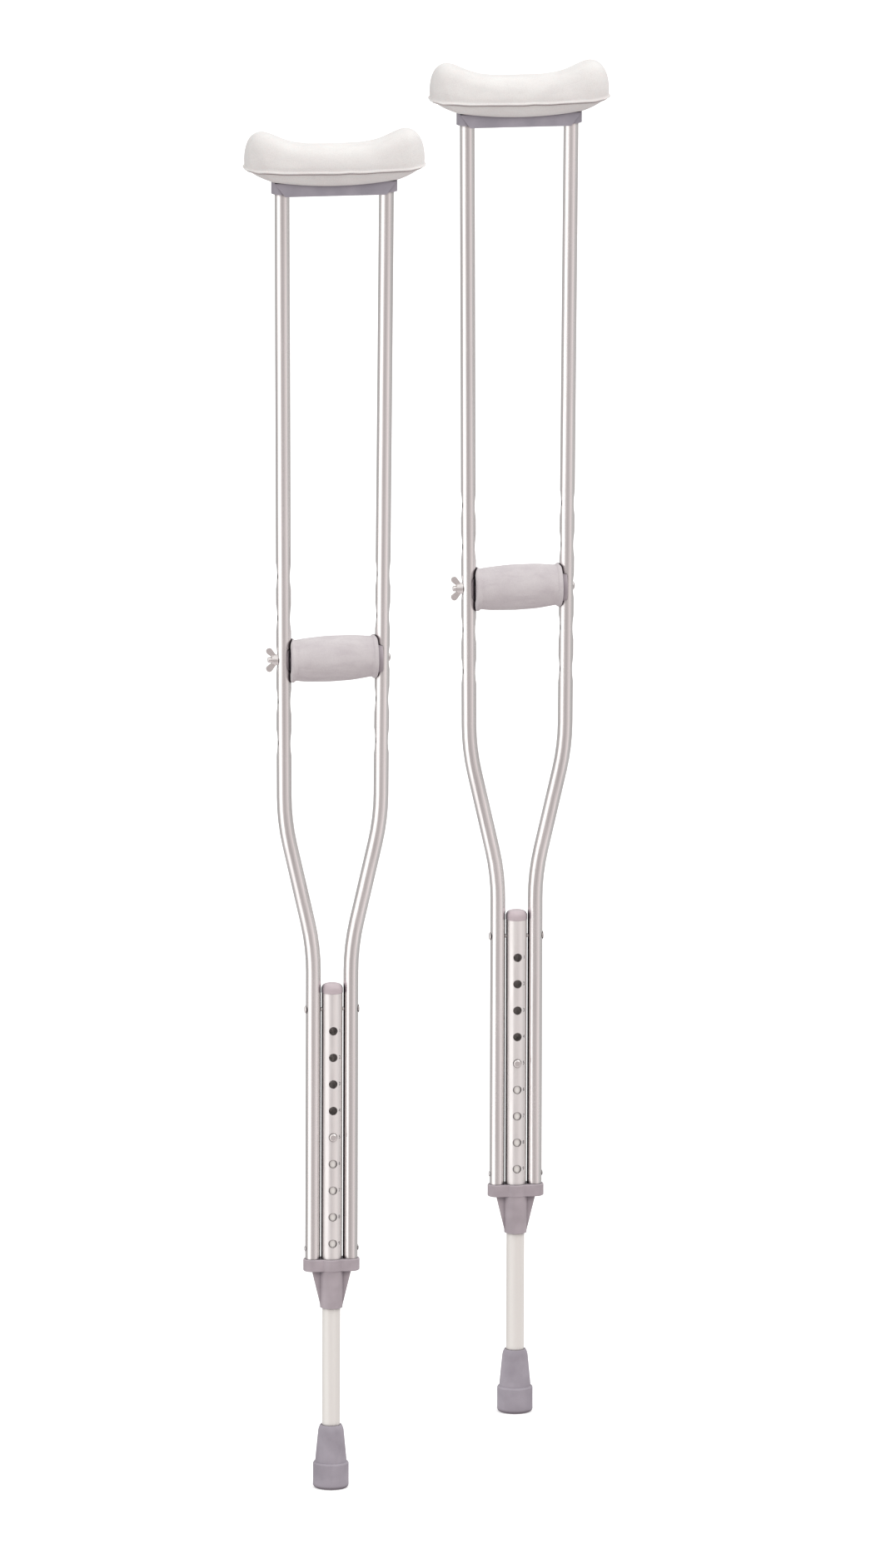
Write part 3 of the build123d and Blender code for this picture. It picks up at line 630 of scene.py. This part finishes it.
def saddle_height(x):
    """Height of the pad's ridge above its lower edge: low in the middle, high at the horns."""
    share = min(abs(x) / (pad_half_length - HORN_INSET), 1.0)
    full = pad_high.z - pad_low.z
    return full - SADDLE_RISE * (1 - sin(pi / 2 * share**SADDLE_POWER) ** 2)


def shoulder(inset):
    """Share of the full height that the pad has at an inset: steep at its wall, flat on top."""
    share = min(max(1 - inset / SHOULDER_WIDTH, 0.0), 1.0)
    return (1 - share**SHOULDER_POWER) ** (1 / SHOULDER_POWER)


def pad_rows():
    """The pad's rows, from the pocket's roof down, round its lower edge and up to the top.

    Each is a kind, half length, half depth, corner radius and height above the pad's lower edge. A cap
    row's height is its share of the way from the seam to the top.
    """
    pocket_length = (cradle_high.x - cradle_low.x) / 2 + POCKET_GAP
    pocket_depth = (cradle_high.y - cradle_low.y) / 2 + POCKET_GAP
    roof = cradle_high.z + POCKET_GAP - pad_low.z
    rows = []
    for height in (roof, roof * POCKET_MIDDLE):
        rows.append(("pocket", pocket_length, pocket_depth, POCKET_CORNER, height))
    for out_x, out_y, corner, height in LIP:
        rows.append((
            "hull",
            pocket_length + out_x * MM,
            pocket_depth + out_y * MM,
            corner * MM,
            height * MM,
        ))
    low_length = pocket_length + HULL_FOOT_LENGTH
    low_depth = pocket_depth + HULL_FOOT_DEPTH
    top_length = pad_half_length + BEAD[0][0] * MM
    top_depth = pad_half_depth + BEAD[0][0] * MM
    for step in range(HULL_STEPS):
        share = step / HULL_STEPS
        spread = share**HULL_ROUNDNESS
        rows.append((
            "hull",
            low_length + (top_length - low_length) * spread,
            low_depth + (top_depth - low_depth) * spread,
            HULL_CORNER + (PLAN_CORNER - HULL_CORNER) * spread,
            HULL_FOOT_HEIGHT + HULL_CLIMB * share,
        ))
    for outward, upward in BEAD:
        rows.append((
            "seam",
            pad_half_length + outward * MM,
            pad_half_depth + outward * MM,
            PLAN_CORNER + outward * MM,
            SEAM_HEIGHT + upward * MM,
        ))
    for degrees in SHOULDER_BEARINGS:
        angle = radians(degrees)
        inset = SHOULDER_WIDTH * (1 - cos(angle) ** (2 / SHOULDER_POWER))
        rows.append((
            "cap",
            pad_half_length - inset,
            pad_half_depth - inset,
            PLAN_CORNER - inset,
            sin(angle) ** (2 / SHOULDER_POWER),
        ))
    return rows


def make_pad():
    """The underarm cushion: a blown cap and hull that meet in a raised, slightly wavy seam."""
    rows = pad_rows()
    last = len(rows) - 1
    keel_half = (cradle_high.x - cradle_low.x) / 2

    def place(a, b, row):
        kind, half_length, half_depth, corner, height = rows[row]
        x, y = plan_point(a, b, half_length, half_depth, corner)
        bow = 1 - (x / pad_half_length) ** 2
        keel_rise = KEEL_SAG * min((x / keel_half) ** 2, KEEL_RISE_LIMIT)
        if kind == "cap":
            foot = SEAM_HEIGHT + BEAD[-1][1] * MM - SEAM_SAG * bow
            share = shoulder(inset_of(x, y)) if row == last else height
            height = foot + (saddle_height(x) - foot) * share
        elif kind == "seam":
            along = atan2(y / half_depth, x / half_length)
            wave = noise.noise(Vector((SEAM_WAVE_PACE * cos(along), SEAM_WAVE_PACE * sin(along), 0.5)))
            height += SEAM_WAVE * wave - SEAM_SAG * bow
        elif kind == "hull":
            rise = height / SEAM_HEIGHT
            height += (1 - rise) * keel_rise - rise * SEAM_SAG * bow
        return Vector((pad_middle.x + x, pad_middle.y + y, pad_low.z + height))

    points, faces, row_of = box_shell(PAD_COLUMNS, PAD_COLUMNS_ACROSS, len(rows), place)
    pad = new_piece("front_pad_cover", points, faces, pad_cover)
    pinned = [n for n, row in enumerate(row_of) if row < HELD_ROWS or rows[row][0] == "seam"]
    swell(pad, pinned, PAD_SWELL)
    subdivide(pad)
    return pad


stand_pair(make_pad(), "frame", "pad")


# ---------------------------------------------------------------- handgrip sleeve
def upright_reach():
    """Distance of an upright's middle line from the crutch's middle, level with the grip."""
    upright = frame["nodes"]["front_right_upright"].data
    near = [point.co.x for point in upright.vertices if abs(point.co.z - grip_middle.z) < grip_radius]
    return (min(near) + max(near)) / 2 - grip_middle.x


def make_grip():
    """The foam sleeve: a barrel with a neck and a rolled ring at each end, softly uneven, and notched
    where the uprights pass."""
    flange = grip_radius - FLANGE_DROP
    neck = grip_radius - NECK_DEPTH
    ring = grip_half - RING_WIDTH
    # one end, from its bore outwards over the rolled ring and into the neck
    half_profile = [
        (grip_half - 1.4 * MM, GRIP_BORE),
        (grip_half, GRIP_BORE + 2.0 * MM),
        (grip_half, flange - 3.4 * MM),
        (grip_half - 0.5 * MM, flange - 1.2 * MM),
        (grip_half - 2.0 * MM, flange),
        (grip_half - 4.2 * MM, flange - 0.2 * MM),
        (ring, flange - 1.2 * MM),
        (ring - 1.2 * MM, neck),
        (ring - 3.0 * MM, neck + 0.1 * MM),
    ]
    barrel_end = ring - NECK_WIDTH
    barrel = []
    for step in range(BARREL_STEPS + 1):
        x = barrel_end * (1 - 2 * step / BARREL_STEPS)
        rise = 1 - (abs(x) / barrel_end) ** BARREL_POWER
        barrel.append((x, neck + BARREL_FOOT + (grip_radius - neck - BARREL_FOOT) * rise))
    mirrored = [(-x, radius) for x, radius in reversed(half_profile)]
    profile = half_profile + barrel + mirrored
    points, faces = ring_shell(profile, GRIP_SEGMENTS)
    grip = new_piece("front_grip_sleeve", points, faces, grip_skin)
    pinned_rows = [0, 1, 2, len(profile) - 3, len(profile) - 2, len(profile) - 1]  # round the bore's ends
    pinned = [row * GRIP_SEGMENTS + step for row in pinned_rows for step in range(GRIP_SEGMENTS)]
    swell(grip, pinned, GRIP_SWELL)
    reach = upright_reach()
    for vertex in grip.data.vertices:
        x, y, z = vertex.co
        radius = hypot(y, z)
        if radius > grip_radius * GRIP_SKIN:
            dent = sum(noise.noise(Vector((x, y, z)) * pace) * depth for pace, depth in GRIP_DENTS)
            vertex.co += Vector((0, y, z)) / radius * dent
            vertex.co.z += x * GRIP_SKEW
        if abs(vertex.co.y) < UPRIGHT_CLEARANCE:
            room = reach - sqrt(UPRIGHT_CLEARANCE**2 - vertex.co.y**2)
            vertex.co.x = copysign(min(abs(vertex.co.x), room), vertex.co.x)
    move_all(grip, grip_middle)
    subdivide(grip)
    return grip


stand_pair(make_grip(), "handgrip", "grip_foam")


# ---------------------------------------------------------------- height numbers on the centre tube
def make_size_numbers():
    """A plain printed number beside each height hole, wrapped on the tube: 1 is the shortest setting."""
    low, high = next(j["range_m"] for j in frame["joints"] if j["name"] == "front_leg_length")
    hole_pitch = (high - low) / (HOLE_COUNT - 1)
    film = tube_radius + PRINT_THICKNESS
    points = []
    faces = []

    def wrap(x, y, level):
        angle = NUMBER_BEARING + x / film
        return Vector((tube_middle.x + film * sin(angle), tube_middle.y - film * cos(angle), level + y))

    for number in range(1, HOLE_COUNT + 1):
        level = button_z + (1 + HOLE_COUNT // 2 - number) * hole_pitch
        curve = bpy.data.curves.new("digit", "FONT")
        curve.body = str(number)
        curve.size = NUMBER_HEIGHT
        curve.align_x = "CENTER"
        curve.align_y = "CENTER"
        holder = bpy.data.objects.new("digit", curve)
        bpy.context.scene.collection.objects.link(holder)
        bpy.context.view_layer.update()
        flat = holder.to_mesh()
        base = len(points)
        points += [wrap(vertex.co.x, vertex.co.y, level) for vertex in flat.vertices]
        faces += [[base + i for i in face.vertices] for face in flat.polygons]
        bpy.data.objects.remove(holder)
    return new_piece("front_size_numbers", points, faces, size_print)


stand_pair(make_size_numbers(), "frame", None)


# ---------------------------------------------------------------- floor, light and camera
def make_floor():
    material, graph, surface = new_material("studio_floor")
    mottle = graph.noise(6.0, detail=3.0)
    tone = graph.mix(mottle, rgb(0.985, 0.985, 0.983), rgb(0.975, 0.974, 0.973))
    finish_surface(
        graph, surface, Roughness=0.9, Emission_Color=(1, 1, 1, 1), Emission_Strength=FLOOR_GLOW,
        Base_Color=tone,
    )
    points = [
        (-FLOOR_REACH, -FLOOR_REACH, 0),
        (FLOOR_REACH, -FLOOR_REACH, 0),
        (FLOOR_REACH, FLOOR_REACH, 0),
        (-FLOOR_REACH, FLOOR_REACH, 0),
    ]
    floor = new_piece("studio_floor", points, [[0, 1, 2, 3]], material)
    # the crutches are lit and mirrored by the studio around them, not by the floor
    floor.visible_glossy = False
    floor.visible_diffuse = False


def make_world():
    """Soft studio surroundings for light and reflections, with a plain white backdrop for the camera."""
    world = bpy.data.worlds.new("studio")
    bpy.context.scene.world = world
    world.use_nodes = True
    graph = Graph(world.node_tree)
    world.node_tree.nodes.clear()
    direction = graph.add("TexCoord").outputs["Generated"]
    axes = graph.add("SeparateXYZ", Vector=direction)
    turn = graph.math("ARCTAN2", axes.outputs["X"], graph.math("MULTIPLY", axes.outputs["Y"], -1.0))
    bands = graph.add("ValToRGB", Fac=graph.ramp(turn, 0.0, 1.0, -pi, pi))
    ramp = bands.color_ramp
    ramp.interpolation = "EASE"
    while len(ramp.elements) > 1:
        ramp.elements.remove(ramp.elements[-1])
    for number, (bearing, level) in enumerate(SKY_BEARINGS):
        spot = (bearing + 180) / 360
        element = ramp.elements[0] if number == 0 else ramp.elements.new(spot)
        element.position = spot
        share = WARM_SHARE if abs(bearing) < 60 and level < 1 else PLAIN_SHARE
        element.color = (level, level * share, level * share, 1)
    overhead = graph.ramp(axes.outputs["Z"], 0.0, 1.0, 0.15, 0.7)
    sky = graph.mix(overhead, bands.outputs["Color"], SKY_OVERHEAD)
    below = graph.ramp(axes.outputs["Z"], 1.0, 0.0, -0.8, -0.35)
    sky = graph.mix(below, sky, SKY_BELOW)
    surroundings = graph.add("Background", Color=sky, Strength=SKY_STRENGTH)
    backdrop = graph.add("Background", Color=(1, 1, 1, 1), Strength=1.0)
    seen = graph.add("LightPath").outputs["Is Camera Ray"]
    both = graph.add("MixShader")
    graph.put(both.inputs[0], seen)
    graph.put(both.inputs[1], surroundings.outputs[0])
    graph.put(both.inputs[2], backdrop.outputs[0])
    output = graph.add("OutputWorld")
    graph.put(output.inputs["Surface"], both.outputs[0])


def aim(thing, target):
    thing.rotation_euler = (target - thing.location).to_track_quat("-Z", "Y").to_euler()


def make_key_light():
    """A large softbox to the right, in front of and above the crutches."""
    centre = (cad_box[0] + cad_box[1]) / 2
    light = bpy.data.lights.new("key_light", "AREA")
    light.shape = "SQUARE"
    light.size = KEY_SIZE
    light.energy = KEY_POWER
    lamp = bpy.data.objects.new("key_light", light)
    lamp.location = centre + KEY_OFFSET
    aim(lamp, centre)
    bpy.context.scene.collection.objects.link(lamp)


def make_camera():
    """A long lens at the crutches' viewing angle: from a little above, and slightly to their left."""
    sole = Vector(((tip_low.x + tip_high.x) / 2, (tip_low.y + tip_high.y) / 2, tip_low.z))
    back = Vector((
        sin(CAMERA_TURN) * cos(CAMERA_TILT),
        -cos(CAMERA_TURN) * cos(CAMERA_TILT),
        sin(CAMERA_TILT),
    ))
    right = Vector((cos(CAMERA_TURN), sin(CAMERA_TURN), 0))
    up = back.cross(right)
    target = sole + right * SOLE_LEFT_OF_CENTRE + up * SOLE_BELOW_CENTRE
    camera_data = bpy.data.cameras.new("camera")
    # The lens is set for the sensor's height. Views from other sides place their camera for its greater
    # width, so they come near enough to show the crutches.
    camera_data.sensor_fit = "VERTICAL"
    camera_data.lens = camera_data.sensor_height * CAMERA_DISTANCE / PICTURE_HEIGHT
    camera_data.clip_end = CLIP_END
    camera = bpy.data.objects.new("camera", camera_data)
    camera.location = target + back * CAMERA_DISTANCE
    aim(camera, target)
    camera.rotation_euler.rotate_axis("Z", CAMERA_ROLL)
    bpy.context.scene.collection.objects.link(camera)
    bpy.context.scene.camera = camera


make_floor()
make_world()
make_key_light()
make_camera()
bpy.context.scene.view_settings.view_transform = "Standard"
bpy.context.scene.view_settings.look = "None"
